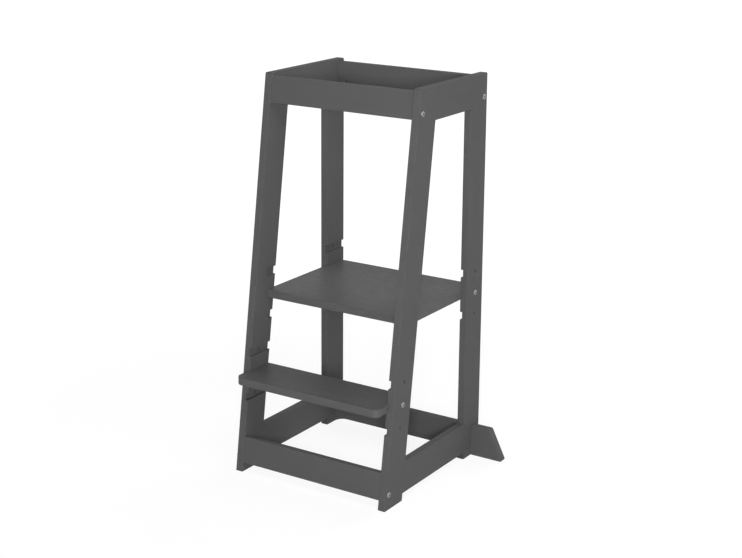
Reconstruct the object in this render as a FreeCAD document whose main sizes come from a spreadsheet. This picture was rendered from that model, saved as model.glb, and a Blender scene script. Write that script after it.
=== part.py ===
import FreeCAD, Part
import Sketcher
import os

# Toddler kitchen helper stool: two side frames with leaning front legs, three cross rails,
# a rear stabiliser board with anti-tip wings, a platform and a step that each fit in three
# rows of grooves, and the bolts, barrel nuts, dowels and screws that hold them.
#
# Millimetres. +Z is up, the front faces -Y, +X is the right-hand side seen from the front.
# The row frame's origin is the middle of the footprint, on the floor. The shapes are drawn
# in a bench frame whose Y = 0 is the plane of the rear faces, and each finished piece is
# then placed `rear_y` further back.

os.makedirs("parts", exist_ok=True)
doc = FreeCAD.newDocument("kitchen_helper_stool")
V = FreeCAD.Vector

# ---------------------------------------------------------------- driving dimensions

SIZES = [
    # side frames
    ("stool_height", 900.0, "floor to the tops of the side frames"),
    ("frame_width", 402.0, "over the outer faces of the side frames"),
    ("frame_thickness", 18.0, "boards of the side frames"),
    ("leg_width", 70.0, "square across a leg"),
    ("top_depth", 285.0, "front to rear at the top"),
    ("foot_depth", 412.0, "front to rear at the floor"),
    ("side_top_rail_height", 74.0, "top rail of a side frame"),
    ("side_low_rail_height", 71.0, "bottom rail of a side frame"),
    ("foot_height", 16.0, "floor to the bottom rail of a side frame"),
    ("edge_radius", 1.0, "routed long edges"),
    ("rear_corner_radius", 3.5, "top rear corner of a side frame"),
    ("front_corner_radius", 4.0, "top front corner of a side frame"),
    # cross rails
    ("cross_rail_height", 61.0, "the three rails between the side frames"),
    ("cross_rail_thickness", 18.0, "the three rails between the side frames"),
    ("front_rail_drop", 5.0, "front top rail below the frame tops"),
    ("front_rail_setback", 3.0, "front top rail from the front edges of the legs"),
    ("rear_rail_drop", 6.0, "rear top rail below the frame tops"),
    ("rear_rail_setback", 7.0, "rear top rail from the rear faces of the legs"),
    ("low_rail_lift", 21.5, "floor to the front bottom rail"),
    # rear stabiliser
    ("stabiliser_height", 73.0, "height of the board"),
    ("stabiliser_thickness", 18.0, "thickness of the board"),
    ("stabiliser_setback", 18.0, "its rear face from the rear faces of the legs"),
    ("wing_foot_reach", 84.0, "wing beyond the frame at the floor"),
    ("wing_top_reach", 48.0, "wing beyond the frame at its top"),
    ("wing_tip_radius", 4.0, "rounded tips of the wings"),
    ("wing_top_radius", 4.0, "rounded top corners of the wings"),
    ("arch_height", 10.5, "recess under the board between the legs"),
    ("arch_run", 37.0, "length of the curve at each end of the recess"),
    ("lap_height", 36.0, "floor to the seat of the cross-lap with the legs"),
    ("lap_play", 0.2, "clearance of the cross-lap on each side"),
    # platform
    ("platform_depth", 305.0, "front to rear"),
    ("platform_thickness", 18.0, "thickness of the board"),
    ("platform_setback", 3.5, "its rear edge from the rear faces of the legs"),
    ("platform_height", 398.0, "floor to mid thickness, middle position"),
    ("platform_pitch", 50.0, "between two positions of the platform"),
    # step
    ("step_thickness", 18.0, "thickness of the board"),
    ("step_overhang", 45.0, "in front of the legs"),
    ("step_depth", 117.0, "front to rear"),
    ("step_corner_radius", 17.0, "front corners in plan"),
    ("step_height", 224.0, "floor to mid thickness, middle position"),
    ("step_pitch", 50.0, "between two positions of the step"),
    # grooves
    ("groove_depth", 6.0, "into the inner face of a leg"),
    ("groove_play", 0.2, "clearance over and under a board in its groove"),
    ("board_end_play", 0.5, "clearance at each end of a board in its groove"),
    # bolts and barrel nuts
    ("bolt_diameter", 6.0, "shank"),
    ("bolt_length", 50.0, "under the head"),
    ("bolt_tail", 6.5, "past the middle of the barrel nut"),
    ("bolt_play", 0.3, "clearance around the shank in wood"),
    ("thread_play", 0.06, "clearance around the shank in the barrel nut"),
    ("bolt_end_chamfer", 0.8, "end of the shank"),
    ("head_diameter", 12.5, "bolt head"),
    ("head_height", 2.8, "bolt head"),
    ("head_radius", 1.4, "rounded rim of the bolt head"),
    ("socket_width", 4.0, "hexagon socket across its flats"),
    ("socket_depth", 3.0, "hexagon socket"),
    ("nut_diameter", 10.0, "barrel nut"),
    ("nut_length", 12.0, "barrel nut"),
    ("nut_play", 0.15, "clearance around the barrel nut"),
    ("nut_inset", 3.0, "its slotted end below the surface of the board"),
    ("nut_slot_width", 1.5, "screwdriver slot"),
    ("nut_slot_depth", 1.2, "screwdriver slot"),
    ("top_rail_bolt_rise", 14.0, "bolt axis above the lower edge of a top rail"),
    ("low_rail_bolt_rise", 15.0, "bolt axis above the lower edge of the front bottom rail"),
    # dowels
    ("dowel_diameter", 8.0, "wooden dowels"),
    ("dowel_play", 0.05, "clearance around a dowel"),
    ("dowel_chamfer", 1.0, "ends of a dowel"),
    ("rail_dowel_length", 32.0, "dowel between a cross rail and a leg"),
    ("rail_dowel_in_leg", 12.0, "the part of it that is in the leg"),
    ("rail_dowel_drop", 14.0, "dowel axis below the upper edge of a cross rail"),
    ("frame_dowel_length", 40.0, "dowel between a side rail and a leg"),
    ("frame_dowel_spacing", 36.0, "the two dowels of one joint"),
    ("dowel_bore_spare", 1.0, "bore deeper than the dowel"),
    # stabiliser screws
    ("screw_diameter", 4.0, "countersunk screw"),
    ("screw_length", 32.0, "countersunk screw"),
    ("screw_play", 0.05, "clearance around the screw"),
    ("screw_head_diameter", 8.0, "countersunk head"),
    ("screw_head_height", 2.4, "countersunk head"),
    ("screw_height", 20.0, "floor to the screw's axis"),
    ("screw_slot_width", 1.1, "cross recess"),
    ("screw_slot_length", 4.4, "cross recess"),
    ("screw_slot_depth", 1.4, "cross recess"),
    # how far a cutter runs past the face that it enters
    ("overcut", 1.0, "cutters past the surface"),
]

sheet = doc.addObject("Spreadsheet::Sheet", "Sizes")
for line, (alias, value, meaning) in enumerate(SIZES, start=1):
    sheet.set("A%d" % line, alias)
    sheet.set("B%d" % line, str(value))
    sheet.set("C%d" % line, meaning)
    sheet.setAlias("B%d" % line, alias)
doc.recompute()

# ---------------------------------------------------------------- places worked out from them

PLACES = [
    # the lean of the front legs: how far back they go per millimetre of height
    ("lean", "(Sizes.foot_depth - Sizes.top_depth) / Sizes.stool_height"),
    ("lean_cos", "1 / sqrt(1 + lean * lean)"),
    ("lean_sin", "lean * lean_cos"),
    ("leg_run", "Sizes.leg_width / lean_cos"),
    ("outer_x", "Sizes.frame_width / 2"),
    ("inner_x", "outer_x - Sizes.frame_thickness"),
    ("window_low", "Sizes.foot_height + Sizes.side_low_rail_height"),
    ("window_high", "Sizes.stool_height - Sizes.side_top_rail_height"),
    # the two leaning rails: their front lower edges
    ("rail_rise", "Sizes.cross_rail_height * lean_cos"),
    ("front_top_rail_z", "Sizes.stool_height - Sizes.front_rail_drop - rail_rise"),
    ("front_top_rail_y", "lean * front_top_rail_z - Sizes.foot_depth + Sizes.front_rail_setback"),
    ("front_low_rail_z", "Sizes.low_rail_lift"),
    ("front_low_rail_y", "lean * front_low_rail_z - Sizes.foot_depth"),
    # the upright one: its lower edge and its rear face
    ("rear_top_rail_z", "Sizes.stool_height - Sizes.rear_rail_drop - Sizes.cross_rail_height"),
    ("rear_top_rail_y", "-Sizes.rear_rail_setback"),
    # bolt and dowel axes of the cross rails
    ("top_bolt_up", "Sizes.top_rail_bolt_rise"),
    ("low_bolt_up", "Sizes.low_rail_bolt_rise"),
    ("dowel_up", "Sizes.cross_rail_height - Sizes.rail_dowel_drop"),
    ("half_rail", "Sizes.cross_rail_thickness / 2"),
    ("front_top_bolt_y", "front_top_rail_y + top_bolt_up * lean_sin + half_rail * lean_cos"),
    ("front_top_bolt_z", "front_top_rail_z + top_bolt_up * lean_cos - half_rail * lean_sin"),
    ("front_top_dowel_y", "front_top_rail_y + dowel_up * lean_sin + half_rail * lean_cos"),
    ("front_top_dowel_z", "front_top_rail_z + dowel_up * lean_cos - half_rail * lean_sin"),
    ("front_low_bolt_y", "front_low_rail_y + low_bolt_up * lean_sin + half_rail * lean_cos"),
    ("front_low_bolt_z", "front_low_rail_z + low_bolt_up * lean_cos - half_rail * lean_sin"),
    ("front_low_dowel_y", "front_low_rail_y + dowel_up * lean_sin + half_rail * lean_cos"),
    ("front_low_dowel_z", "front_low_rail_z + dowel_up * lean_cos - half_rail * lean_sin"),
    ("rear_top_bolt_y", "rear_top_rail_y - half_rail"),
    ("rear_top_bolt_z", "rear_top_rail_z + top_bolt_up"),
    ("rear_top_dowel_y", "rear_top_rail_y - half_rail"),
    ("rear_top_dowel_z", "rear_top_rail_z + dowel_up"),
    # the two boards
    ("board_half_width", "inner_x + Sizes.groove_depth - Sizes.board_end_play"),
    ("platform_front_y", "-Sizes.platform_setback - Sizes.platform_depth"),
    ("platform_bolt_y", "-Sizes.leg_width / 2"),
    ("step_front_y", "lean * Sizes.step_height - Sizes.foot_depth - Sizes.step_overhang"),
    ("step_rear_y", "step_front_y + Sizes.step_depth"),
    # barrel nuts, all at one distance from the outer faces
    ("nut_x", "outer_x - Sizes.bolt_length + Sizes.bolt_tail"),
    # the footprint's middle
    ("rear_y", "-step_front_y / 2"),
]

places = doc.addObject("App::VarSet", "Places")
for name, formula in PLACES:
    places.addProperty("App::PropertyFloat", name, "Places")
    places.setExpression(name, formula)
doc.recompute()


def place_of(name):
    return getattr(places, name)


def leg_front(height):
    """Y of the front edge of a front leg at a height, as an expression."""
    return "(Places.lean * (%s) - Sizes.foot_depth)" % height


def leg_rear(height):
    """Y of the rear edge of a front leg at a height, as an expression."""
    return "(Places.lean * (%s) - Sizes.foot_depth + Places.leg_run)" % height


# ---------------------------------------------------------------- helpers

def new_body(name):
    return doc.addObject("PartDesign::Body", name)


def origin_plane(body, role):
    return [plane for plane in body.Origin.OriginFeatures if plane.Role == role][0]


def new_sketch(body, name, role):
    sketch = body.newObject("Sketcher::SketchObject", name)
    sketch.AttachmentSupport = [(origin_plane(body, role), "")]
    sketch.MapMode = "FlatFace"
    return sketch


def value_of(expression):
    """The present value of an expression, for a sketch's first guess."""
    return float(sheet.evalExpression(expression))


def bind(sketch, constraint, expression):
    index = sketch.addConstraint(constraint)
    sketch.setExpression("Constraints[%d]" % index, expression)


def add_polygon(sketch, points):
    """Closed outline through points given as pairs of expressions."""
    first = sketch.GeometryCount
    count = len(points)
    guess = [V(value_of(across), value_of(up), 0) for across, up in points]
    for i in range(count):
        sketch.addGeometry(Part.LineSegment(guess[i], guess[(i + 1) % count]), False)
    for i in range(count):
        sketch.addConstraint(Sketcher.Constraint("Coincident", first + i, 2, first + (i + 1) % count, 1))
    for i, (across, up) in enumerate(points):
        bind(sketch, Sketcher.Constraint("DistanceX", -1, 1, first + i, 1, guess[i].x), across)
        bind(sketch, Sketcher.Constraint("DistanceY", -1, 1, first + i, 1, guess[i].y), up)


def add_circle(sketch, across, up, radius):
    """Circle about a centre given by expressions."""
    index = sketch.GeometryCount
    centre = V(value_of(across), value_of(up), 0)
    sketch.addGeometry(Part.Circle(centre, V(0, 0, 1), value_of(radius)), False)
    bind(sketch, Sketcher.Constraint("Radius", index, value_of(radius)), radius)
    bind(sketch, Sketcher.Constraint("DistanceX", -1, 1, index, 3, centre.x), across)
    bind(sketch, Sketcher.Constraint("DistanceY", -1, 1, index, 3, centre.y), up)


def add_pad(body, name, sketch, length, reverse=False, centred=False):
    pad = body.newObject("PartDesign::Pad", name)
    pad.Profile = sketch
    pad.setExpression("Length", length)
    pad.Reversed = reverse
    pad.Midplane = centred
    doc.recompute()
    return pad


def add_pocket(body, name, sketch, length, reverse=False, centred=False):
    """Pocket that must take material away."""
    before = body.Shape.Volume
    pocket = body.newObject("PartDesign::Pocket", name)
    pocket.Profile = sketch
    pocket.setExpression("Length", length)
    pocket.Reversed = reverse
    pocket.Midplane = centred
    doc.recompute()
    assert pocket.Shape.Volume < before, name + " cuts nothing"
    return pocket


def edges_where(shape, test):
    """Names of the edges whose middle point and ends pass a test."""
    names = []
    for number, edge in enumerate(shape.Edges, start=1):
        ends = [vertex.Point for vertex in edge.Vertexes]
        middle = edge.valueAt((edge.FirstParameter + edge.LastParameter) / 2)
        if test(middle, ends):
            names.append("Edge%d" % number)
    return names


def add_fillet(body, name, base, radius, test):
    fillet = body.newObject("PartDesign::Fillet", name)
    fillet.Base = (base, edges_where(base.Shape, test))
    fillet.setExpression("Radius", radius)
    doc.recompute()
    return fillet


def near(a, b):
    return abs(a - b) < 1e-4


def set_place(thing, x="0", y="0", z="0"):
    thing.setExpression("Placement.Base.x", x)
    thing.setExpression("Placement.Base.y", y)
    thing.setExpression("Placement.Base.z", z)


def turn(thing, axis, angle, expression=None):
    thing.Placement = FreeCAD.Placement(V(0, 0, 0), FreeCAD.Rotation(axis, angle))
    if expression:
        thing.setExpression("Placement.Rotation.Angle", expression)


ALONG_X = (V(0, 1, 0), 90)
ALONG_Y = (V(1, 0, 0), -90)


def cylinder(name, radius, length, place, way=None, angle=None):
    """Cylinder that starts at a place and runs along +Z, or the way that is given."""
    rod = doc.addObject("Part::Cylinder", name)
    rod.setExpression("Radius", radius)
    rod.setExpression("Height", length)
    if way:
        turn(rod, way[0], way[1], angle)
    set_place(rod, *place)
    return rod


def box(name, low, high):
    """Box between two corners given by expressions."""
    block = doc.addObject("Part::Box", name)
    for side, start, end in zip(("Length", "Width", "Height"), low, high):
        block.setExpression(side, "(%s) - (%s)" % (end, start))
    set_place(block, *low)
    return block


def fuse(name, shapes):
    joined = doc.addObject("Part::MultiFuse", name)
    joined.Shapes = shapes
    return joined


def mirror(name, source):
    """The same thing on the other side of the stool."""
    twin = doc.addObject("Part::Mirroring", name)
    twin.Source = source
    twin.Base = V(0, 0, 0)
    twin.Normal = V(1, 0, 0)
    return twin


def cut(name, base, cutters):
    """Piece with its bores and grooves cut."""
    result = doc.addObject("Part::Cut", name)
    result.Base = base
    result.Tool = fuse(name + "_cutters", cutters)
    return result


def both_sides(name, cutters):
    """A group of cutters and its mirror image."""
    right = fuse(name + "_right", cutters)
    return [right, mirror(name + "_left", right)]


nodes = []


def finish(thing, label, y="0"):
    """Name a finished piece and bring it from its Y in the bench frame into the row frame."""
    thing.Label = label
    thing.setExpression("Placement.Base.y", "Places.rear_y + " + y)
    nodes.append(thing)
    return thing


def finish_pair(thing, name, y="0"):
    """A right-hand piece and its left-hand mirror image, as two nodes."""
    finish(thing, "right_" + name, y)
    twin = mirror("left_" + name, thing)
    twin.Label = "left_" + name
    nodes.append(twin)


def finish_group(name, shapes):
    """Several identical pieces as one node."""
    group = doc.addObject("Part::Compound", name)
    group.Links = shapes
    finish(group, name)


# ---------------------------------------------------------------- cutters

WOOD_BORE = "Sizes.bolt_diameter / 2 + Sizes.bolt_play"
DOWEL_BORE = "Sizes.dowel_diameter / 2 + Sizes.dowel_play"
NUT_BORE = "Sizes.nut_diameter / 2 + Sizes.nut_play"


def leg_bolt_bore(name, y, z):
    """Bolt bore right through a right-hand leg."""
    start = "Places.inner_x - Sizes.overcut"
    length = "Sizes.frame_thickness + 2 * Sizes.overcut"
    return cylinder(name, WOOD_BORE, length, (start, y, z), ALONG_X)


def leg_dowel_bore(name, y, z):
    """Blind dowel bore in the inner face of a right-hand leg."""
    start = "Places.inner_x - Sizes.overcut"
    length = "Sizes.rail_dowel_in_leg + Sizes.dowel_bore_spare + Sizes.overcut"
    return cylinder(name, DOWEL_BORE, length, (start, y, z), ALONG_X)


def end_bolt_bore(name, y, z):
    """Bolt bore in the right-hand end of a rail or board."""
    start = "Places.nut_x - Sizes.bolt_tail - Sizes.overcut"
    length = "Sizes.bolt_length + 2 * Sizes.overcut"
    return cylinder(name, WOOD_BORE, length, (start, y, z), ALONG_X)


def end_dowel_bore(name, y, z):
    """Blind dowel bore in the right-hand end of a cross rail."""
    in_rail = "(Sizes.rail_dowel_length - Sizes.rail_dowel_in_leg + Sizes.dowel_bore_spare)"
    start = "Places.inner_x - " + in_rail
    return cylinder(name, DOWEL_BORE, in_rail + " + Sizes.overcut", (start, y, z), ALONG_X)


def levels(height, pitch):
    """The three heights of an adjustable board, from the lowest, as expressions."""
    return ["Sizes.%s + (%d) * Sizes.%s" % (height, step, pitch) for step in (-1, 0, 1)]


def groove(name, level, thickness, y_low, y_high):
    """Groove for the edge of a board in the inner face of a right-hand leg."""
    half = "(Sizes.%s / 2 + Sizes.groove_play)" % thickness
    low = ("Places.inner_x - Sizes.overcut", y_low, level + " - " + half)
    high = ("Places.inner_x + Sizes.groove_depth", y_high, level + " + " + half)
    return box(name, low, high)


# ---------------------------------------------------------------- side frames

# The four boards of a side frame are glued, sanded flush and then routed round as one, so
# the rounded edges run on from board to board. The blank below is that whole frame.

def make_frame_blank():
    body = new_body("side_frame_blank")
    outline = new_sketch(body, "frame_outline", "YZ_Plane")
    add_polygon(outline, [
        (leg_front("0"), "0"),
        (leg_rear("0"), "0"),
        (leg_rear("Sizes.foot_height"), "Sizes.foot_height"),
        ("-Sizes.leg_width", "Sizes.foot_height"),
        ("-Sizes.leg_width", "0"),
        ("0", "0"),
        ("0", "Sizes.stool_height"),
        (leg_front("Sizes.stool_height"), "Sizes.stool_height"),
    ])
    pad = add_pad(body, "frame_pad", outline, "Sizes.frame_thickness")
    window = new_sketch(body, "frame_window", "YZ_Plane")
    add_polygon(window, [
        (leg_rear("Places.window_low"), "Places.window_low"),
        ("-Sizes.leg_width", "Places.window_low"),
        ("-Sizes.leg_width", "Places.window_high"),
        (leg_rear("Places.window_high"), "Places.window_high"),
    ])
    opened = add_pocket(body, "frame_opening", window, "Sizes.frame_thickness", reverse=True)
    top = sheet.stool_height
    front_top = -sheet.top_depth

    def is_rear_corner(middle, ends):
        return near(middle.z, top) and near(middle.y, 0) and near(ends[0].y, ends[-1].y)

    def is_front_corner(middle, ends):
        return near(middle.z, top) and near(middle.y, front_top) and near(ends[0].y, ends[-1].y)

    def is_long_edge(middle, ends):
        flat = near(ends[0].x, ends[-1].x)
        sole = near(ends[0].z, 0) and near(ends[-1].z, 0)
        return flat and not sole

    rear = add_fillet(body, "rear_corner", opened, "Sizes.rear_corner_radius", is_rear_corner)
    front = add_fillet(body, "front_corner", rear, "Sizes.front_corner_radius", is_front_corner)
    add_fillet(body, "routed_edges", front, "Sizes.edge_radius", is_long_edge)
    set_place(body, x="Places.inner_x")
    return body


def frame_board(name, blank, corners):
    """The part of the blank inside an outline in the side view."""
    body = new_body(name + "_region")
    sketch = new_sketch(body, name + "_outline", "YZ_Plane")
    add_polygon(sketch, corners)
    add_pad(body, name + "_block", sketch, "Sizes.frame_thickness + 2 * Sizes.overcut")
    set_place(body, x="Places.inner_x - Sizes.overcut")
    board = doc.addObject("Part::Common", name + "_board")
    board.Base = blank
    board.Tool = body
    return board


ABOVE = "(Sizes.stool_height + Sizes.leg_width)"
BELOW = "(-Sizes.leg_width)"
MIDDLE = "(Sizes.stool_height / 2)"
IN_FRONT = "(-Sizes.foot_depth - Sizes.leg_width)"

frame_blank = make_frame_blank()
front_leg_board = frame_board("front_leg", frame_blank, [
    (IN_FRONT, BELOW), (leg_rear(BELOW), BELOW), (leg_rear(ABOVE), ABOVE), (IN_FRONT, ABOVE)])
rear_leg_board = frame_board("rear_leg", frame_blank, [
    ("-Sizes.leg_width", BELOW), ("Sizes.leg_width", BELOW),
    ("Sizes.leg_width", ABOVE), ("-Sizes.leg_width", ABOVE)])
side_top_board = frame_board("side_top", frame_blank, [
    (leg_rear(MIDDLE), MIDDLE), ("-Sizes.leg_width", MIDDLE),
    ("-Sizes.leg_width", ABOVE), (leg_rear(ABOVE), ABOVE)])
side_low_board = frame_board("side_low", frame_blank, [
    (leg_rear(BELOW), BELOW), ("-Sizes.leg_width", BELOW),
    ("-Sizes.leg_width", MIDDLE), (leg_rear(MIDDLE), MIDDLE)])

# Dowels of the side frames: two at each end of each side rail, along Y.
FRAME_MID_X = "Places.outer_x - Sizes.frame_thickness / 2"
SIDE_RAIL_MIDS = {
    "top": "Sizes.stool_height - Sizes.side_top_rail_height / 2",
    "low": "Sizes.foot_height + Sizes.side_low_rail_height / 2",
}


def frame_dowel_places():
    """Name, joint plane's Y and height of each dowel of one side frame."""
    for rail, middle in SIDE_RAIL_MIDS.items():
        for word, sign in (("lower", "-"), ("upper", "+")):
            height = "(%s %s Sizes.frame_dowel_spacing / 2)" % (middle, sign)
            yield "%s_rail_front_%s" % (rail, word), leg_rear(height), height
            yield "%s_rail_rear_%s" % (rail, word), "-Sizes.leg_width", height


def frame_dowel_bores(piece):
    """One bore per dowel, running into both boards of its joint."""
    half = "(Sizes.frame_dowel_length / 2 + Sizes.dowel_bore_spare)"
    bores = []
    for name, y, z in frame_dowel_places():
        place = (FRAME_MID_X, "%s - %s" % (y, half), z)
        bores.append(cylinder("%s_%s_bore" % (piece, name), DOWEL_BORE, "2 * " + half, place, ALONG_Y))
    return bores


def dowel(name, length, place, way):
    """Wooden dowel with chamfered ends."""
    rod = cylinder(name + "_rod", "Sizes.dowel_diameter / 2", length, place, way)
    doc.recompute()
    ends = [number for number, edge in enumerate(rod.Shape.Edges, start=1) if edge.Closed]
    chamfer = doc.addObject("Part::Chamfer", name)
    chamfer.Base = rod
    chamfer.Edges = [(number, sheet.dowel_chamfer, sheet.dowel_chamfer) for number in ends]
    return chamfer


def make_front_legs():
    cutters = frame_dowel_bores("front_leg")
    for rail in ("front_top", "front_low"):
        cutters.append(leg_bolt_bore(rail + "_leg_bolt_bore", "Places.%s_bolt_y" % rail, "Places.%s_bolt_z" % rail))
        cutters.append(leg_dowel_bore(rail + "_leg_dowel_bore", "Places.%s_dowel_y" % rail,
                                      "Places.%s_dowel_z" % rail))
    for number, level in enumerate(levels("step_height", "step_pitch"), start=1):
        middle = "(%s + %s) / 2" % (leg_front(level), leg_rear(level))
        cutters.append(groove("step_groove_%d" % number, level, "step_thickness", IN_FRONT, "0"))
        cutters.append(leg_bolt_bore("step_bore_%d" % number, middle, level))
    for number, level in enumerate(levels("platform_height", "platform_pitch"), start=1):
        stop = "Places.platform_front_y - Sizes.board_end_play"
        cutters.append(groove("platform_stub_groove_%d" % number, level, "platform_thickness", stop, "0"))
    finish_pair(cut("front_leg", front_leg_board, cutters), "front_leg")


def make_rear_legs():
    cutters = frame_dowel_bores("rear_leg")
    cutters.append(leg_bolt_bore("rear_top_leg_bolt_bore", "Places.rear_top_bolt_y", "Places.rear_top_bolt_z"))
    cutters.append(leg_dowel_bore("rear_top_leg_dowel_bore", "Places.rear_top_dowel_y", "Places.rear_top_dowel_z"))
    for number, level in enumerate(levels("platform_height", "platform_pitch"), start=1):
        cutters.append(groove("platform_groove_%d" % number, level, "platform_thickness",
                              "-2 * Sizes.leg_width", "Sizes.overcut"))
        cutters.append(leg_bolt_bore("platform_bore_%d" % number, "Places.platform_bolt_y", level))
    cutters.append(box(
        "lap_slot",
        ("Places.inner_x - Sizes.overcut", "-Sizes.stabiliser_setback - Sizes.stabiliser_thickness - Sizes.lap_play",
         "-Sizes.overcut"),
        ("Places.outer_x + Sizes.overcut", "Sizes.lap_play - Sizes.stabiliser_setback", "Sizes.lap_height")))
    cutters += screw_bore("leg")
    finish_pair(cut("rear_leg", rear_leg_board, cutters), "rear_leg")


def screw_bore(piece):
    """Countersunk bore along Y, entered from the rear face of the right-hand rear leg."""
    radius = "Sizes.screw_diameter / 2 + Sizes.screw_play"
    start = (FRAME_MID_X, "-Sizes.screw_length - Sizes.overcut", "Sizes.screw_height")
    bore = cylinder(piece + "_screw_bore", radius, "Sizes.screw_length + 2 * Sizes.overcut", start, ALONG_Y)
    sink = doc.addObject("Part::Cone", piece + "_screw_sink")
    sink.setExpression("Radius1", radius)
    sink.setExpression("Radius2", "Sizes.screw_head_diameter / 2 + Sizes.screw_play")
    sink.setExpression("Height", "Sizes.screw_head_height")
    turn(sink, *ALONG_Y)
    set_place(sink, FRAME_MID_X, "-Sizes.screw_head_height", "Sizes.screw_height")
    return [bore, sink]


make_front_legs()
make_rear_legs()
finish_pair(cut("side_top_rail", side_top_board, frame_dowel_bores("side_top")), "side_top_rail")
finish_pair(cut("side_low_rail", side_low_board, frame_dowel_bores("side_low")), "side_bottom_rail")

frame_dowels = []
for dowel_name, joint_y, dowel_z in frame_dowel_places():
    dowel_start = (FRAME_MID_X, joint_y + " - Sizes.frame_dowel_length / 2", dowel_z)
    frame_dowels.append(dowel(dowel_name + "_dowel", "Sizes.frame_dowel_length", dowel_start, ALONG_Y))
right_dowels = doc.addObject("Part::Compound", "frame_dowels")
right_dowels.Links = frame_dowels
finish_pair(right_dowels, "frame_dowels")

# ---------------------------------------------------------------- cross rails

def make_cross_rail(name, label, corners, nut_start, nut_way, nut_angle=None):
    """Rail between the side frames: outline of its section in the side view, bores at both ends."""
    body = new_body(name + "_blank")
    section = new_sketch(body, name + "_section", "YZ_Plane")
    add_polygon(section, corners)
    pad = add_pad(body, name + "_length", section, "2 * Places.inner_x", centred=True)
    end = place_of("inner_x")

    def is_long_edge(middle, ends):
        return near(abs(ends[0].x), end) and near(ends[0].x, -ends[-1].x)

    add_fillet(body, name + "_routed_edges", pad, "Sizes.edge_radius", is_long_edge)
    bolt_y, bolt_z = "Places.%s_bolt_y" % name, "Places.%s_bolt_z" % name
    dowel_y, dowel_z = "Places.%s_dowel_y" % name, "Places.%s_dowel_z" % name
    cutters = [
        end_bolt_bore(name + "_end_bolt_bore", bolt_y, bolt_z),
        end_dowel_bore(name + "_end_dowel_bore", dowel_y, dowel_z),
        cylinder(name + "_nut_bore", NUT_BORE, NUT_BORE_LENGTH, nut_start, nut_way, nut_angle),
    ]
    finish(cut(name + "_rail", body, both_sides(name + "_end_cutters", cutters)), label)
    rod_start = ("Places.inner_x - Sizes.rail_dowel_length + Sizes.rail_dowel_in_leg", dowel_y, dowel_z)
    rod = dowel(name + "_dowel", "Sizes.rail_dowel_length", rod_start, ALONG_X)
    finish_group(label + "_dowels", [rod, mirror(name + "_dowel_left", rod)])


# A barrel nut's bore runs from outside the face where the nut goes in to just past the nut.
NUT_BORE_LENGTH = "Sizes.nut_inset + Sizes.nut_length + Sizes.dowel_bore_spare + Sizes.overcut"


def leaning_section(name):
    """Section of a rail that leans with the front legs."""
    low_y, low_z = "Places.%s_rail_y" % name, "Places.%s_rail_z" % name
    high_y = "(%s + Places.lean * Places.rail_rise)" % low_y
    high_z = "(%s + Places.rail_rise)" % low_z
    back_y = "Sizes.cross_rail_thickness * Places.lean_cos"
    back_z = "Sizes.cross_rail_thickness * Places.lean_sin"
    return [
        (low_y, low_z),
        ("%s + %s" % (low_y, back_y), "%s - %s" % (low_z, back_z)),
        ("%s + %s" % (high_y, back_y), "%s - %s" % (high_z, back_z)),
        (high_y, high_z),
    ]


def leaning_nut_start(name):
    """Where the barrel nut's bore enters a leaning rail: just behind its rear face."""
    behind = "(Places.half_rail + Sizes.overcut)"
    return ("Places.nut_x",
            "Places.%s_bolt_y + %s * Places.lean_cos" % (name, behind),
            "Places.%s_bolt_z - %s * Places.lean_sin" % (name, behind))


LEANING_WAY = (V(1, 0, 0), 80)
LEANING_ANGLE = "90 - atan(Places.lean) / 1 deg"

for rail_name, rail_label in (("front_top", "front_top_rail"), ("front_low", "front_bottom_rail")):
    make_cross_rail(rail_name, rail_label, leaning_section(rail_name), leaning_nut_start(rail_name),
                    LEANING_WAY, LEANING_ANGLE)

REAR_RAIL_BACK = "Places.rear_top_rail_y"
REAR_RAIL_FACE = "(Places.rear_top_rail_y - Sizes.cross_rail_thickness)"
REAR_RAIL_LOW = "Places.rear_top_rail_z"
REAR_RAIL_TOP = "Places.rear_top_rail_z + Sizes.cross_rail_height"
make_cross_rail(
    "rear_top", "rear_top_rail",
    [(REAR_RAIL_FACE, REAR_RAIL_LOW), (REAR_RAIL_BACK, REAR_RAIL_LOW),
     (REAR_RAIL_BACK, REAR_RAIL_TOP), (REAR_RAIL_FACE, REAR_RAIL_TOP)],
    ("Places.nut_x", REAR_RAIL_FACE + " - Sizes.overcut", "Places.rear_top_bolt_z"), ALONG_Y)

# ---------------------------------------------------------------- rear stabiliser

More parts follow.
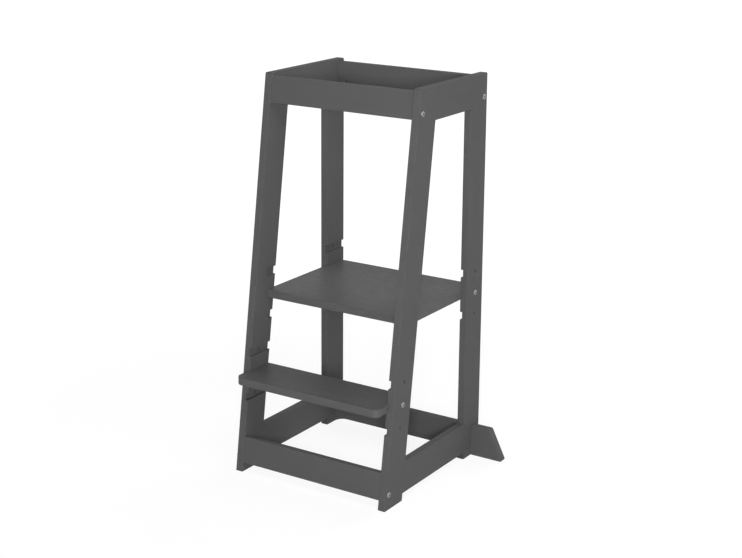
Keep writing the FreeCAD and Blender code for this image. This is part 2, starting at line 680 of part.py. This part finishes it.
def make_stabiliser():
    body = new_body("stabiliser_blank")
    outline = new_sketch(body, "stabiliser_outline", "XZ_Plane")
    foot = "(Places.outer_x + Sizes.wing_foot_reach)"
    shoulder = "(Places.outer_x + Sizes.wing_top_reach)"
    top = "Sizes.stabiliser_height"
    add_polygon(outline, [("-" + foot, "0"), (foot, "0"), (shoulder, top), ("-" + shoulder, top)])
    pad = add_pad(body, "stabiliser_pad", outline, "Sizes.stabiliser_thickness")
    height = sheet.stabiliser_height

    def is_tip(middle, ends):
        return near(middle.z, 0) and near(ends[0].x, ends[-1].x)

    def is_shoulder(middle, ends):
        return near(middle.z, height) and near(ends[0].x, ends[-1].x)

    def is_long_edge(middle, ends):
        sole = near(ends[0].z, 0) and near(ends[-1].z, 0)
        return near(ends[0].y, ends[-1].y) and not sole

    tips = add_fillet(body, "wing_tips", pad, "Sizes.wing_tip_radius", is_tip)
    shoulders = add_fillet(body, "wing_shoulders", tips, "Sizes.wing_top_radius", is_shoulder)
    add_fillet(body, "stabiliser_edges", shoulders, "Sizes.edge_radius", is_long_edge)
    run = "(Places.inner_x - Sizes.arch_run)"
    arc = "((Sizes.arch_run ^ 2 + Sizes.arch_height ^ 2) / (2 * Sizes.arch_height))"
    flat = new_sketch(body, "arch_flat_outline", "XZ_Plane")
    add_polygon(flat, [("-" + run, "-Sizes.overcut"), (run, "-Sizes.overcut"),
                       (run, "Sizes.arch_height"), ("-" + run, "Sizes.arch_height")])
    add_pocket(body, "arch_flat", flat, "Sizes.stabiliser_thickness", reverse=True)
    curves = new_sketch(body, "arch_end_outline", "XZ_Plane")
    for side in ("-", ""):
        add_circle(curves, side + run, "Sizes.arch_height - " + arc, arc)
    add_pocket(body, "arch_ends", curves, "Sizes.stabiliser_thickness", reverse=True)
    set_place(body, y="-Sizes.stabiliser_setback")
    behind = "-Sizes.stabiliser_setback + Sizes.overcut"
    before = "-Sizes.stabiliser_setback - Sizes.stabiliser_thickness - Sizes.overcut"
    slot = box("stabiliser_slot",
               ("Places.inner_x - Sizes.lap_play", before, "Sizes.lap_height"),
               ("Places.outer_x + Sizes.lap_play", behind, "Sizes.stabiliser_height + Sizes.overcut"))
    cutters = both_sides("stabiliser_cutters", [slot] + screw_bore("stabiliser"))
    finish(cut("rear_stabiliser", body, cutters), "rear_stabiliser")


def make_stabiliser_screws():
    shank = cylinder("screw_shank", "Sizes.screw_diameter / 2", "Sizes.screw_length",
                     (FRAME_MID_X, "-Sizes.screw_length", "Sizes.screw_height"), ALONG_Y)
    head = doc.addObject("Part::Cone", "screw_head")
    head.setExpression("Radius1", "Sizes.screw_diameter / 2")
    head.setExpression("Radius2", "Sizes.screw_head_diameter / 2")
    head.setExpression("Height", "Sizes.screw_head_height")
    turn(head, *ALONG_Y)
    set_place(head, FRAME_MID_X, "-Sizes.screw_head_height", "Sizes.screw_height")
    recess = []
    for name, across, up in (("flat", "length", "width"), ("upright", "width", "length")):
        half_across = "Sizes.screw_slot_%s / 2" % across
        half_up = "Sizes.screw_slot_%s / 2" % up
        recess.append(box(
            "screw_slot_" + name,
            (FRAME_MID_X + " - " + half_across, "-Sizes.screw_slot_depth", "Sizes.screw_height - " + half_up),
            (FRAME_MID_X + " + " + half_across, "Sizes.overcut", "Sizes.screw_height + " + half_up)))
    screw = cut("stabiliser_screw", fuse("screw_body", [shank, head]), recess)
    finish_group("stabiliser_screws", [screw, mirror("stabiliser_screw_left", screw)])


make_stabiliser()
make_stabiliser_screws()

# ---------------------------------------------------------------- platform and step

STEP_BOLT_Y = "((%s + %s) / 2)" % (leg_front("Sizes.step_height"), leg_rear("Sizes.step_height"))


def make_board(name, front_y, rear_y, corner_radius=None):
    """Board whose ends sit in the grooves, with bolt and nut bores at both ends."""
    thickness = "Sizes.%s_thickness" % name
    height = "Sizes.%s_height" % name
    bolt_y = "Places.platform_bolt_y" if name == "platform" else STEP_BOLT_Y
    body = new_body(name + "_blank")
    outline = new_sketch(body, name + "_outline", "XY_Plane")
    half = "Places.board_half_width"
    add_polygon(outline, [("-" + half, front_y), (half, front_y), (half, rear_y), ("-" + half, rear_y)])
    shape = add_pad(body, name + "_pad", outline, thickness)
    front = value_of(front_y)

    def is_front_corner(middle, ends):
        return near(middle.y, front) and near(ends[0].x, ends[-1].x) and near(ends[0].y, ends[-1].y)

    def is_rim(middle, ends):
        return near(ends[0].z, ends[-1].z)

    if corner_radius:
        shape = add_fillet(body, name + "_corners", shape, corner_radius, is_front_corner)
    add_fillet(body, name + "_routed_edges", shape, "Sizes.edge_radius", is_rim)
    set_place(body, z="%s - %s / 2" % (height, thickness))
    under = "%s - %s / 2 - Sizes.overcut" % (height, thickness)
    cutters = [
        end_bolt_bore(name + "_end_bolt_bore", bolt_y, height),
        cylinder(name + "_nut_bore", NUT_BORE, NUT_BORE_LENGTH, ("Places.nut_x", bolt_y, under)),
    ]
    finish(cut(name + "_board", body, both_sides(name + "_end_cutters", cutters)), name + "_board")


make_board("platform", "Places.platform_front_y", "-Sizes.platform_setback")
make_board("step", "Places.step_front_y", "Places.step_rear_y", "Sizes.step_corner_radius")

# ---------------------------------------------------------------- bolts and barrel nuts

def make_bolt(name, y, z):
    """Right-hand bolt: low rounded head on the leg's outer face, hexagon socket, plain shank."""
    body = new_body(name)
    profile = new_sketch(body, name + "_profile", "XY_Plane")
    shank = "Sizes.bolt_diameter / 2"
    add_polygon(profile, [
        ("-Sizes.bolt_length", "0"),
        ("-Sizes.bolt_length", shank + " - Sizes.bolt_end_chamfer"),
        ("Sizes.bolt_end_chamfer - Sizes.bolt_length", shank),
        ("0", shank),
        ("0", "Sizes.head_diameter / 2"),
        ("Sizes.head_height", "Sizes.head_diameter / 2"),
        ("Sizes.head_height", "0"),
    ])
    turned = body.newObject("PartDesign::Revolution", name + "_turned")
    turned.Profile = profile
    turned.ReferenceAxis = (profile, ["H_Axis"])
    doc.recompute()
    crown = sheet.head_height

    def is_rim(middle, ends):
        return near(middle.x, crown)

    rounded = add_fillet(body, name + "_crown", turned, "Sizes.head_radius", is_rim)
    socket = body.newObject("PartDesign::SubtractivePrism", name + "_socket")
    socket.Polygon = 6
    socket.setExpression("Circumradius", "Sizes.socket_width / sqrt(3)")
    socket.setExpression("Height", "Sizes.socket_depth + Sizes.overcut")
    turn(socket, *ALONG_X)
    socket.setExpression("Placement.Base.x", "Sizes.head_height - Sizes.socket_depth")
    doc.recompute()
    assert socket.Shape.Volume < rounded.Shape.Volume, name + " has no socket"
    set_place(body, "Places.outer_x", y, z)
    return body


def make_nut(name, y, z, way=None, angle=None, sideways=None):
    """Right-hand barrel nut, its slotted end towards the face where it went in."""
    start_y, start_z = sideways
    barrel = cylinder(name + "_barrel", "Sizes.nut_diameter / 2", "Sizes.nut_length",
                      ("Places.nut_x", start_y, start_z), way, angle)
    thread_start = "Places.nut_x - Sizes.nut_diameter"
    thread = cylinder(name + "_thread", "Sizes.bolt_diameter / 2 + Sizes.thread_play",
                      "2 * Sizes.nut_diameter", (thread_start, y, z), ALONG_X)
    return cut(name, barrel, [thread, nut_slot(name, start_y, start_z, way, angle)])


def nut_slot(name, start_y, start_z, way, angle):
    """Screwdriver slot across the end of a barrel nut that starts at a place."""
    blade = doc.addObject("Part::Box", name + "_slot_blade")
    blade.setExpression("Length", "Sizes.nut_diameter + 2 * Sizes.overcut")
    blade.setExpression("Width", "Sizes.nut_slot_width")
    blade.setExpression("Height", "Sizes.nut_slot_depth + Sizes.overcut")
    set_place(blade, "-Sizes.nut_diameter / 2 - Sizes.overcut", "-Sizes.nut_slot_width / 2", "-Sizes.overcut")
    slot = doc.addObject("Part::Compound", name + "_slot")
    slot.Links = [blade]
    if way:
        turn(slot, way[0], way[1], angle)
    set_place(slot, "Places.nut_x", start_y, start_z)
    return slot


def finish_hardware(label, bolt_name, bolt, nut_name, nut):
    """A bolt and a nut at each end of one rail."""
    finish_group(bolt_name, [bolt, mirror(label + "_bolt_left", bolt)])
    finish_group(nut_name, [nut, mirror(label + "_nut_left", nut)])


for rail_name, rail_label in (("front_top", "front_top_rail"), ("front_low", "front_bottom_rail")):
    axis_y, axis_z = "Places.%s_bolt_y" % rail_name, "Places.%s_bolt_z" % rail_name
    back = "(Places.half_rail - Sizes.nut_inset)"
    nut_begin = ("%s + %s * Places.lean_cos" % (axis_y, back), "%s - %s * Places.lean_sin" % (axis_z, back))
    finish_hardware(
        rail_name, rail_label + "_bolts", make_bolt(rail_name + "_bolt", axis_y, axis_z),
        rail_label + "_barrel_nuts",
        make_nut(rail_name + "_nut", axis_y, axis_z, LEANING_WAY, LEANING_ANGLE, nut_begin))

finish_hardware(
    "rear_top", "rear_top_rail_bolts", make_bolt("rear_top_bolt", "Places.rear_top_bolt_y", "Places.rear_top_bolt_z"),
    "rear_top_rail_barrel_nuts",
    make_nut("rear_top_nut", "Places.rear_top_bolt_y", "Places.rear_top_bolt_z", ALONG_Y, None,
             (REAR_RAIL_FACE + " + Sizes.nut_inset", "Places.rear_top_bolt_z")))

for board, axis_y in (("platform", "Places.platform_bolt_y"), ("step", STEP_BOLT_Y)):
    axis_z = "Sizes.%s_height" % board
    under_z = "Sizes.%s_height - Sizes.%s_thickness / 2 + Sizes.nut_inset" % (board, board)
    finish_pair(make_bolt(board + "_bolt", axis_y, axis_z), board + "_bolt", axis_y)
    board_nut = make_nut(board + "_nut", axis_y, axis_z, None, None, (axis_y, under_z))
    finish_group(board + "_barrel_nuts", [board_nut, mirror(board + "_nut_left", board_nut)])

# ---------------------------------------------------------------- checks and files

doc.recompute()

for thing in doc.Objects:
    faults = [state for state in thing.State if state in ("Invalid", "Error")]
    assert not faults, "%s: %s" % (thing.Name, thing.State)

for node in nodes:
    assert not node.Shape.isNull(), node.Label + " has no shape"
    assert node.Shape.isValid(), node.Label + " is not valid"
    assert node.Shape.Volume > 0, node.Label + " is empty"

for node in nodes:
    node.Shape.exportStep("parts/%s.step" % node.Label)
    size = node.Shape.BoundBox
    print("%-32s %d solids %10.0f mm3  %6.1f x %6.1f x %6.1f" % (
        node.Label, len(node.Shape.Solids), node.Shape.Volume, size.XLength, size.YLength, size.ZLength))
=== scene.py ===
import math

import bpy
from mathutils import Matrix, Vector


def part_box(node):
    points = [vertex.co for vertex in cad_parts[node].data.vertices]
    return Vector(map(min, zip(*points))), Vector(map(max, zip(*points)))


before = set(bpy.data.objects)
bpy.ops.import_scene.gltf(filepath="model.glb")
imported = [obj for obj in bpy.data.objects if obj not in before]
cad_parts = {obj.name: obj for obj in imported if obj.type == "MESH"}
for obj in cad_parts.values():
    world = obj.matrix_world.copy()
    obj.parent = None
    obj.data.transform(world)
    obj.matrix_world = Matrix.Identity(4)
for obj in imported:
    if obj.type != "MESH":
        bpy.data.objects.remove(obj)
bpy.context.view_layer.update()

# ---------------------------------------------------------------- sizes of the part, in metres

STOOL_HEIGHT = 0.900
FOOT_DEPTH = 0.412
TOP_DEPTH = 0.285
LEG_WIDTH = 0.070
LEAN = (FOOT_DEPTH - TOP_DEPTH) / STOOL_HEIGHT
LEAN_ANGLE = math.atan(LEAN)
REAR_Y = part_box("right_rear_leg")[1][1]

# joint lines of a side frame: the leg's edge along the side rails, below and above the window
LEANING_JOINT = REAR_Y - FOOT_DEPTH + LEG_WIDTH / math.cos(LEAN_ANGLE)
UPRIGHT_JOINT = REAR_Y - LEG_WIDTH
JOINT_LOW = 0.087
JOINT_HIGH = 0.826

# ---------------------------------------------------------------- colours and finishes

PAINT = (0.106, 0.106, 0.107)
# slightly lighter paint for the rounded edges: partly edge wear, partly a painted highlight
PAINT_EDGE_WEAR_AND_HIGHLIGHT = (0.108, 0.108, 0.109)
PAINT_DEEP = (0.095, 0.095, 0.096)
PAINT_PALE = tuple(2 * middle - deep for middle, deep in zip(PAINT, PAINT_DEEP))
SEAM_DARK = (0.068, 0.068, 0.069)
ZINC = (0.31, 0.31, 0.305)
ZINC_DARK = (0.18, 0.18, 0.177)
# darker zinc for the nuts and screws: painted shade, standing in for the shade deep in the bores
# that hold the nuts
NUT_ZINC_PAINTED_SHADE = (0.14, 0.14, 0.138)
NUT_DARK_PAINTED_SHADE = (0.09, 0.09, 0.088)
BEECH = (0.52, 0.34, 0.19)
BEECH_DARK = (0.36, 0.21, 0.10)
FRAME_GLOSS = 0.01
BOARD_GLOSS = 0.06

# how much the clouds, growth rings and pores change the paint's tone
CLOUD_SHARE = 0.30
RING_SHARE = 0.10
PORE_SHARE = 0.22
SEAM_SHARE = 0.75

# half width of a joint's hairline, from where it fades in to where it is full
SEAM_FADE = 0.00045
SEAM_FULL = 0.00012

# depth of the relief, in metres
GRAIN_RELIEF = 0.00012
PEEL_RELIEF = 0.00004
TURNING_RELIEF = 0.00001
SPECK_RELIEF = 0.00003
PORE_RELIEF = 0.0001

# phase per metre of radius: turning marks a quarter of a millimetre apart
TURNING_MARKS = 26000.0


class Tree:
    """A material's node tree with short ways to add and join nodes."""

    def __init__(self, name):
        self.material = bpy.data.materials.new(name)
        self.material.use_nodes = True
        self.nodes = self.material.node_tree.nodes
        self.links = self.material.node_tree.links
        self.nodes.clear()
        self.output = self.nodes.new("ShaderNodeOutputMaterial")
        self.shader = self.nodes.new("ShaderNodeBsdfPrincipled")
        self.link(self.shader.outputs["BSDF"], self.output.inputs["Surface"])

    def link(self, start, end):
        self.links.new(start, end)

    def put(self, value, socket):
        """Join an output to a socket, or set the socket's own value."""
        if isinstance(value, bpy.types.NodeSocket):
            self.link(value, socket)
        else:
            socket.default_value = value

    def math(self, operation, a, b=0.0, clamp=False):
        node = self.nodes.new("ShaderNodeMath")
        node.operation = operation
        node.use_clamp = clamp
        for value, socket in zip((a, b), node.inputs):
            self.put(value, socket)
        return node.outputs[0]

    def about_zero(self, value, share):
        """Value from 0..1, moved to lie about zero and scaled to a share."""
        return self.math("MULTIPLY", self.math("SUBTRACT", value, 0.5), share)

    def distance(self, across, up):
        squares = self.math("MULTIPLY", across, across), self.math("MULTIPLY", up, up)
        return self.math("SQRT", self.math("ADD", *squares))

    def position(self):
        return self.nodes.new("ShaderNodeTexCoord").outputs["Object"]

    def turned(self, vector, angles=(0.0, 0.0, 0.0), scale=(1.0, 1.0, 1.0), shift=(0.0, 0.0, 0.0)):
        node = self.nodes.new("ShaderNodeMapping")
        self.link(vector, node.inputs["Vector"])
        node.inputs["Rotation"].default_value = angles
        node.inputs["Scale"].default_value = scale
        node.inputs["Location"].default_value = shift
        return node.outputs["Vector"]

    def split(self, vector):
        node = self.nodes.new("ShaderNodeSeparateXYZ")
        self.link(vector, node.inputs[0])
        return node.outputs

    def noise(self, vector, scale, detail=2.0, roughness=0.5, distortion=0.0):
        node = self.nodes.new("ShaderNodeTexNoise")
        self.link(vector, node.inputs["Vector"])
        node.inputs["Scale"].default_value = scale
        node.inputs["Detail"].default_value = detail
        node.inputs["Roughness"].default_value = roughness
        node.inputs["Distortion"].default_value = distortion
        return node.outputs["Fac"]

    def ramp(self, value, low, high, to_low=0.0, to_high=1.0):
        """Value from low..high, smoothed, to to_low..to_high."""
        node = self.nodes.new("ShaderNodeMapRange")
        node.interpolation_type = "SMOOTHSTEP"
        self.link(value, node.inputs["Value"])
        node.inputs["From Min"].default_value = low
        node.inputs["From Max"].default_value = high
        node.inputs["To Min"].default_value = to_low
        node.inputs["To Max"].default_value = to_high
        return node.outputs["Result"]

    def mix(self, factor, first, second):
        node = self.nodes.new("ShaderNodeMix")
        node.data_type = "RGBA"
        self.put(factor, node.inputs[0])
        for value, socket in ((first, node.inputs[6]), (second, node.inputs[7])):
            self.put((*value, 1.0) if isinstance(value, tuple) else value, socket)
        return node.outputs[2]

    def bump(self, height, distance, strength=1.0, after=None):
        node = self.nodes.new("ShaderNodeBump")
        node.inputs["Strength"].default_value = strength
        node.inputs["Distance"].default_value = distance
        self.link(height, node.inputs["Height"])
        if after is not None:
            self.link(after, node.inputs["Normal"])
        return node.outputs["Normal"]

    def finish(self, colour, roughness, normal, **plain):
        self.put(colour, self.shader.inputs["Base Color"])
        self.put(roughness, self.shader.inputs["Roughness"])
        self.link(normal, self.shader.inputs["Normal"])
        for name, value in plain.items():
            self.shader.inputs[name.replace("_", " ")].default_value = value
        return self.material


# How the grain of a board lies: turned so that its length becomes the texture's X.
GRAIN = {
    "x": (0.0, 0.0, 0.0),
    "y": (0.0, 0.0, -math.pi / 2),
    "z": (0.0, math.pi / 2, 0.0),
    "leg": (LEAN_ANGLE, math.pi / 2, 0.0),
}

# A board's seed moves the grain along by this much, so that no two boards have the same.
GRAIN_STEP = (0.37, 0.21, 0.11)


def edge_mask(tree, leaning):
    """1 on the rounded edges of a board, which get edge wear and a painted highlight, and 0 on its
    flat faces.
    """
    normal = tree.nodes.new("ShaderNodeNewGeometry").outputs["True Normal"]
    if leaning:
        normal = tree.turned(normal, (LEAN_ANGLE, 0.0, 0.0))
    x, y, z = (tree.math("ABSOLUTE", part) for part in tree.split(normal))
    flat = tree.math("MAXIMUM", x, tree.math("MAXIMUM", y, z))
    return tree.ramp(flat, 0.995, 0.90, 0.0, 1.0)


def painted_board(name, grain, tone_and_painted_fill, gloss, seed, seams=()):
    """Matte paint over planed wood: faint grain, soft tone changes, edges lightened by wear and a
    painted highlight, and a per-board tone that is partly painted fill light.

    seams are (kind, position) pairs: the joint lines of the side frame's butted boards.
    """
    tree = Tree(name)
    place = tree.position()
    along = tree.turned(place, GRAIN[grain], shift=tuple(step * seed for step in GRAIN_STEP))
    pores = tree.noise(tree.turned(along, scale=(9.0, 260.0, 260.0)), 1.0, 3.0, 0.6)
    rings = tree.noise(tree.turned(along, scale=(1.6, 26.0, 26.0)), 1.0, 4.0, 0.55, 1.2)
    rings = tree.math("PINGPONG", tree.math("MULTIPLY", rings, 6.0), 1.0)
    cloud = tree.noise(place, 7.0, 3.0, 0.5)
    peel = tree.noise(place, 900.0, 1.0, 0.5)
    edges = edge_mask(tree, grain == "leg")
    wear = tree.ramp(tree.noise(along, 38.0, 3.0, 0.6), 0.35, 0.75, 0.25, 0.85)
    edge_wear_and_highlight = tree.math("MULTIPLY", edges, wear)

    # the board's tone moves its paint lighter or darker: partly a random board-to-board tone,
    # partly painted fill light on boards in shade
    level = tree.math("ADD", tree.about_zero(cloud, CLOUD_SHARE), tone_and_painted_fill)
    level = tree.math("ADD", level, tree.about_zero(rings, RING_SHARE))
    level = tree.math("ADD", level, tree.about_zero(pores, PORE_SHARE), clamp=True)
    colour = tree.mix(level, PAINT_DEEP, PAINT_PALE)
    # the rounded edges are lightened in patches: partly edge wear, partly a painted highlight
    colour = tree.mix(edge_wear_and_highlight, colour, PAINT_EDGE_WEAR_AND_HIGHLIGHT)

    height = tree.math("ADD", tree.math("MULTIPLY", pores, 0.7), tree.math("MULTIPLY", rings, 0.3))
    for kind, where in seams:
        line = seam_line(tree, place, kind, where)
        colour = tree.mix(tree.math("MULTIPLY", line, SEAM_SHARE), colour, SEAM_DARK)
        height = tree.math("SUBTRACT", height, line)
    normal = tree.bump(height, GRAIN_RELIEF, 0.9)
    normal = tree.bump(peel, PEEL_RELIEF, 0.5, normal)
    rough = tree.ramp(tree.noise(place, 60.0, 3.0, 0.6), 0.25, 0.75, 0.42, 0.52)
    return tree.finish(colour, rough, normal, Specular_IOR_Level=gloss)


def seam_line(tree, place, kind, where):
    """1 on the hairline where two boards of a side frame meet."""
    _, y, z = tree.split(place)
    if kind == "leaning":
        # a leaning joint moves back with the height
        offset = tree.math("SUBTRACT", y, tree.math("MULTIPLY", z, LEAN))
    else:
        offset = y
    distance = tree.math("ABSOLUTE", tree.math("SUBTRACT", offset, where))
    below, above = tree.math("LESS_THAN", z, JOINT_LOW), tree.math("GREATER_THAN", z, JOINT_HIGH)
    joined = tree.math("MAXIMUM", below, above)
    return tree.math("MULTIPLY", joined, tree.ramp(distance, SEAM_FADE, SEAM_FULL, 0.0, 1.0))


def zinc_steel(name, centre_y, centre_z, bright, dull):
    """Zinc-plated steel turned about an axis along X: fine rings, and a patchy tone."""
    tree = Tree(name)
    place = tree.position()
    _, y, z = tree.split(place)
    radius = tree.distance(tree.math("SUBTRACT", y, centre_y), tree.math("SUBTRACT", z, centre_z))
    rings = tree.math("SINE", tree.math("MULTIPLY", radius, TURNING_MARKS))
    speck = tree.noise(place, 1400.0, 3.0, 0.65)
    cloud = tree.noise(place, 220.0, 3.0, 0.6)
    colour = tree.mix(tree.ramp(cloud, 0.35, 0.75, 0.0, 0.55), bright, dull)
    rough = tree.ramp(speck, 0.3, 0.7, 0.36, 0.52)
    normal = tree.bump(rings, TURNING_RELIEF, 0.35)
    normal = tree.bump(speck, SPECK_RELIEF, 0.4, normal)
    return tree.finish(colour, rough, normal, Metallic=1.0)


def bare_beech(name, grain):
    """Bare wooden dowel with its grain and pores."""
    tree = Tree(name)
    along = tree.turned(tree.position(), GRAIN[grain])
    pores = tree.noise(tree.turned(along, scale=(40.0, 900.0, 900.0)), 1.0, 3.0, 0.6)
    rings = tree.noise(tree.turned(along, scale=(4.0, 120.0, 120.0)), 1.0, 3.0, 0.5, 0.8)
    colour = tree.mix(tree.ramp(rings, 0.35, 0.65), BEECH, BEECH_DARK)
    colour = tree.mix(tree.ramp(pores, 0.55, 0.75, 0.0, 0.5), colour, BEECH_DARK)
    rough = tree.ramp(pores, 0.3, 0.7, 0.6, 0.75)
    return tree.finish(colour, rough, tree.bump(pores, PORE_RELIEF, 0.6))


# ---------------------------------------------------------------- materials on the CAD nodes

FRONT_SEAM = ("leaning", LEANING_JOINT)
REAR_SEAM = ("upright", UPRIGHT_JOINT)

# node: direction of the grain, tone of this board's paint, and the joint lines on it; the tone is
# partly random from board to board and partly painted fill light, higher on boards that sit in
# shade, such as those of the left side and the stabiliser
BOARDS = {
    "left_front_leg": ("leg", 0.53, (FRONT_SEAM,)),
    "right_front_leg": ("leg", 0.47, (FRONT_SEAM,)),
    "left_rear_leg": ("z", 0.54, (REAR_SEAM,)),
    "right_rear_leg": ("z", 0.50, (REAR_SEAM,)),
    "left_side_top_rail": ("y", 0.52, (FRONT_SEAM, REAR_SEAM)),
    "right_side_top_rail": ("y", 0.46, (FRONT_SEAM, REAR_SEAM)),
    "left_side_bottom_rail": ("y", 0.55, (FRONT_SEAM, REAR_SEAM)),
    "right_side_bottom_rail": ("y", 0.48, (FRONT_SEAM, REAR_SEAM)),
    "front_top_rail": ("x", 0.46, ()),
    "rear_top_rail": ("x", 0.46, ()),
    "front_bottom_rail": ("x", 0.53, ()),
    "rear_stabiliser": ("x", 0.55, ()),
    "platform_board": ("x", 0.48, ()),
    "step_board": ("x", 0.45, ()),
}


def coat(node, material):
    """Give a CAD node one material."""
    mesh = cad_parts[node].data
    mesh.materials.clear()
    mesh.materials.append(material)


def zinc_for(node, bright, dull):
    """Zinc whose rings lie about the middle of a node."""
    low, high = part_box(node)
    _, centre_y, centre_z = ((a + b) / 2 for a, b in zip(low, high))
    return zinc_steel("zinc_" + node, centre_y, centre_z, bright, dull)


for seed, (node, (grain, tone_and_painted_fill, seams)) in enumerate(BOARDS.items(), start=1):
    gloss = BOARD_GLOSS if node.endswith("_board") else FRAME_GLOSS
    coat(node, painted_board("paint_" + node, grain, tone_and_painted_fill, gloss, seed, seams))

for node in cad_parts:
    if "bolt" in node:
        coat(node, zinc_for(node, ZINC, ZINC_DARK))
    # nuts and screws get the darker zinc, which is painted shade for the dark bores
    elif "nuts" in node or "screws" in node:
        coat(node, zinc_for(node, NUT_ZINC_PAINTED_SHADE, NUT_DARK_PAINTED_SHADE))
    elif "dowels" in node:
        coat(node, bare_beech("beech_" + node, "y" if "frame" in node else "x"))

# ---------------------------------------------------------------- floor and light

WHITE = (1.0, 1.0, 1.0, 1.0)
FLOOR_SIZE = 30.0
FLOOR_GAP = 0.0005
FLOOR_COLOUR = (0.92, 0.92, 0.92, 1.0)
FLOOR_GLOW = 1.08
# the floor's glow takes this share near the stool, and all of it from GLOW_FAR on
GLOW_SHARE = 0.80
GLOW_NEAR = 0.7
GLOW_FAR = 2.0
WORLD_LIGHT = 0.08
WORLD_SEEN = 1.0
LAMP_AIM = Vector((0.0, 0.0, 0.45))

# name, place, size in metres and power in watts
LAMPS = (
    ("key", (2.05, -3.18, 1.42), 0.6, 90.0),
    ("right", (4.11, -0.43, 1.96), 1.6, 33.0),
    ("top", (1.41, -1.69, 4.26), 2.4, 44.0),
    ("back", (0.60, 3.90, 2.60), 2.6, 84.0),
    ("left", (-3.90, 0.20, 2.30), 2.6, 44.0),
)


def make_floor():
    """Pale floor under the stool that keeps its shadow and turns white away from it."""
    bpy.ops.mesh.primitive_plane_add(size=FLOOR_SIZE, location=(0.0, 0.0, -FLOOR_GAP))
    floor = bpy.context.object
    floor.name = "floor"
    tree = Tree("floor")
    tree.shader.inputs["Base Color"].default_value = FLOOR_COLOUR
    tree.shader.inputs["Roughness"].default_value = 0.9
    tree.shader.inputs["Specular IOR Level"].default_value = 0.0
    ray = tree.nodes.new("ShaderNodeLightPath").outputs
    seen = tree.math("MAXIMUM", ray["Is Camera Ray"], ray["Is Glossy Ray"])
    seen = tree.math("MAXIMUM", seen, ray["Is Transmission Ray"])
    glow = tree.nodes.new("ShaderNodeEmission")
    glow.inputs["Strength"].default_value = FLOOR_GLOW
    x, y, _ = tree.split(tree.position())
    share = tree.ramp(tree.distance(x, y), GLOW_NEAR, GLOW_FAR, GLOW_SHARE, 1.0)
    blend = tree.nodes.new("ShaderNodeMixShader")
    tree.link(tree.math("MULTIPLY", seen, share), blend.inputs[0])
    tree.link(tree.shader.outputs["BSDF"], blend.inputs[1])
    tree.link(glow.outputs["Emission"], blend.inputs[2])
    tree.link(blend.outputs["Shader"], tree.output.inputs["Surface"])
    floor.data.materials.append(tree.material)


def make_world():
    """Even surroundings: white where they are seen or mirrored, and faint as a light."""
    world = bpy.data.worlds.new("studio")
    bpy.context.scene.world = world
    world.use_nodes = True
    nodes, links = world.node_tree.nodes, world.node_tree.links
    nodes.clear()
    output = nodes.new("ShaderNodeOutputWorld")
    blend = nodes.new("ShaderNodeMixShader")
    for strength, socket in ((WORLD_LIGHT, blend.inputs[1]), (WORLD_SEEN, blend.inputs[2])):
        background = nodes.new("ShaderNodeBackground")
        background.inputs["Color"].default_value = WHITE
        background.inputs["Strength"].default_value = strength
        links.new(background.outputs["Background"], socket)
    path = nodes.new("ShaderNodeLightPath").outputs
    seen = path["Is Camera Ray"]
    for kind in ("Is Glossy Ray", "Is Transmission Ray"):
        either = nodes.new("ShaderNodeMath")
        either.operation = "MAXIMUM"
        links.new(seen, either.inputs[0])
        links.new(path[kind], either.inputs[1])
        seen = either.outputs[0]
    links.new(seen, blend.inputs[0])
    links.new(blend.outputs["Shader"], output.inputs["Surface"])


def make_lamp(name, place, size, power):
    """Soft square lamp that points at the middle of the stool."""
    data = bpy.data.lights.new(name, "AREA")
    data.shape = "SQUARE"
    data.size = size
    data.energy = power
    lamp = bpy.data.objects.new(name, data)
    bpy.context.collection.objects.link(lamp)
    lamp.location = place
    aim = LAMP_AIM - Vector(place)
    lamp.rotation_euler = aim.to_track_quat("-Z", "Y").to_euler()


# ---------------------------------------------------------------- camera

IMAGE_WIDTH = 742
IMAGE_HEIGHT = 558
SENSOR_WIDTH = 36.0

# The view, with angles in degrees and places in the image in pixels from its top left corner.
AIM = Vector((0.0, REAR_Y - 0.200, 0.450))
AIM_AT = (361.55, 273.25)
AZIMUTH = 32.77
ELEVATION = 14.35
ROLL = 0.42
DISTANCE = 3.44091
FOCAL_PIXELS = 1524.78
OPTICAL_CENTRE = (371.0, 220.03)


def make_camera():
    """Camera at the photograph's viewing angle, distance and framing."""
    az, el, roll = (math.radians(angle) for angle in (AZIMUTH, ELEVATION, ROLL))
    back = Vector((math.sin(az) * math.cos(el), -math.cos(az) * math.cos(el), math.sin(el)))
    level = Vector((math.cos(az), math.sin(az), 0.0))
    upright = back.cross(level)
    right = level * math.cos(roll) + upright * math.sin(roll)
    up = upright * math.cos(roll) - level * math.sin(roll)
    across = (AIM_AT[0] - OPTICAL_CENTRE[0]) / FOCAL_PIXELS * DISTANCE
    above = (AIM_AT[1] - OPTICAL_CENTRE[1]) / FOCAL_PIXELS * DISTANCE
    centre = AIM + back * DISTANCE - right * across + up * above
    data = bpy.data.cameras.new("camera")
    data.sensor_fit = "HORIZONTAL"
    data.sensor_width = SENSOR_WIDTH
    data.lens = FOCAL_PIXELS * SENSOR_WIDTH / IMAGE_WIDTH
    data.shift_x = (IMAGE_WIDTH / 2 - OPTICAL_CENTRE[0]) / IMAGE_WIDTH
    data.shift_y = (OPTICAL_CENTRE[1] - IMAGE_HEIGHT / 2) / IMAGE_WIDTH
    data.clip_start = 0.05
    data.clip_end = 100.0
    camera = bpy.data.objects.new("camera", data)
    bpy.context.collection.objects.link(camera)
    turn = Matrix((right, up, back)).transposed()
    camera.matrix_world = Matrix.Translation(centre) @ turn.to_4x4()
    bpy.context.scene.camera = camera


make_floor()
make_world()
for lamp in LAMPS:
    make_lamp(*lamp)
make_camera()
bpy.context.scene.view_settings.view_transform = "Standard"
